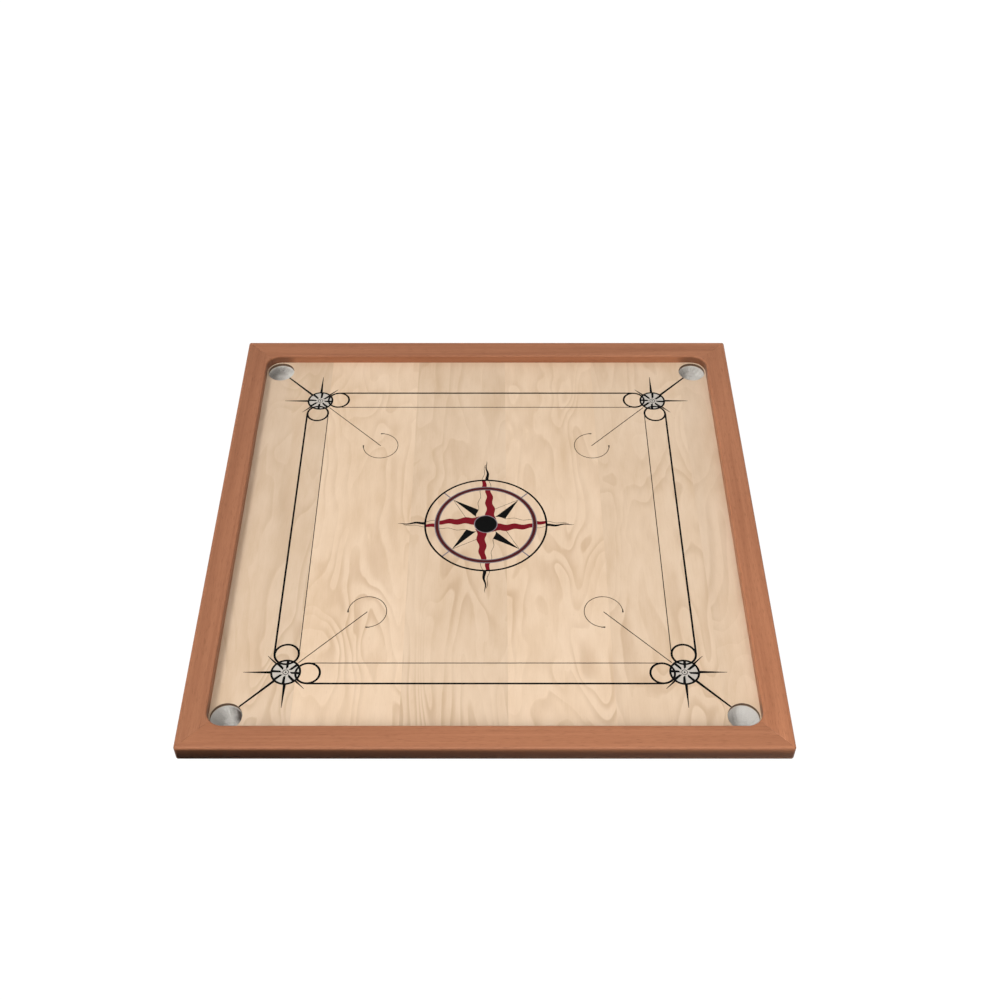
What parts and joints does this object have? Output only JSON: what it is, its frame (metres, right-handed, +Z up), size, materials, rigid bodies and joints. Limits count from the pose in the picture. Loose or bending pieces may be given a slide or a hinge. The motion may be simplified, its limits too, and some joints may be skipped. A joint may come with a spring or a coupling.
{
  "type": "carrom board",
  "caption": "Square carrom game board: mitred hardwood frame, veneered field with printed base lines and centre rose, cloth-pouched corner pockets.",
  "frame": {"origin": "centre of the board, on the plane that the battens rest on", "axes": "+Z up out of the playing field, -Y towards the front edge, +X to the right"},
  "size_m": [0.812, 0.812, 0.041],
  "materials": {
    "rail_wood": "satin lacquered reddish hardwood",
    "batten_wood": "planed softwood",
    "face_veneer": "satin lacquered pale maple or birch",
    "backing_veneer": "sanded birch",
    "plywood_core": "sanded plywood edge",
    "spline_wood": "sawn plywood tongue",
    "pouch_cloth": "plain woven off-white cotton",
    "staple_steel": "zinc plated",
    "screw_steel": "zinc plated",
    "ink_red": "printed ink under lacquer",
    "ink_maroon": "printed ink under lacquer",
    "ink_grey": "printed ink under lacquer",
    "ink_black": "printed ink under lacquer"
  },
  "bodies": {
    "root": {"batten_back": "batten_wood", "batten_front": "batten_wood", "batten_left": "batten_wood", "batten_right": "batten_wood", "batten_screws": "screw_steel", "face_veneer_1": "face_veneer", "face_veneer_2": "face_veneer", "face_veneer_3": "face_veneer", "face_veneer_4": "face_veneer", "face_veneer_5": "face_veneer", "face_veneer_6": "face_veneer", "mitre_spline_back_left": "spline_wood", "mitre_spline_back_right": "spline_wood", "mitre_spline_front_left": "spline_wood", "mitre_spline_front_right": "spline_wood", "panel_backing": "backing_veneer", "panel_core": "plywood_core", "pocket_pouch_back_left": "pouch_cloth", "pocket_pouch_back_right": "pouch_cloth", "pocket_pouch_front_left": "pouch_cloth", "pocket_pouch_front_right": "pouch_cloth", "pouch_staples_back_left": "staple_steel", "pouch_staples_back_right": "staple_steel", "pouch_staples_front_left": "staple_steel", "pouch_staples_front_right": "staple_steel", "print_arrow_back_left": "ink_black", "print_arrow_back_right": "ink_black", "print_arrow_front_left": "ink_black", "print_arrow_front_right": "ink_black", "print_base_lines": "ink_black", "print_rose_grey": "ink_grey", "print_rose_hair_lines": "ink_black", "print_rose_maroon_ring": "ink_maroon", "print_rose_outer_circle": "ink_black", "print_rose_points": "ink_black", "print_rose_red_rays": "ink_red", "print_rose_spot": "ink_black", "print_rose_tips": "ink_black", "print_thin_lines": "ink_black", "print_wheel_back_left": "ink_black", "print_wheel_back_right": "ink_black", "print_wheel_fill_back_left": "ink_grey", "print_wheel_fill_back_right": "ink_grey", "print_wheel_fill_front_left": "ink_grey", "print_wheel_fill_front_right": "ink_grey", "print_wheel_front_left": "ink_black", "print_wheel_front_right": "ink_black", "rail_back": "rail_wood", "rail_front": "rail_wood", "rail_left": "rail_wood", "rail_right": "rail_wood", "rail_screws": "screw_steel"}
  },
  "joints": []
}
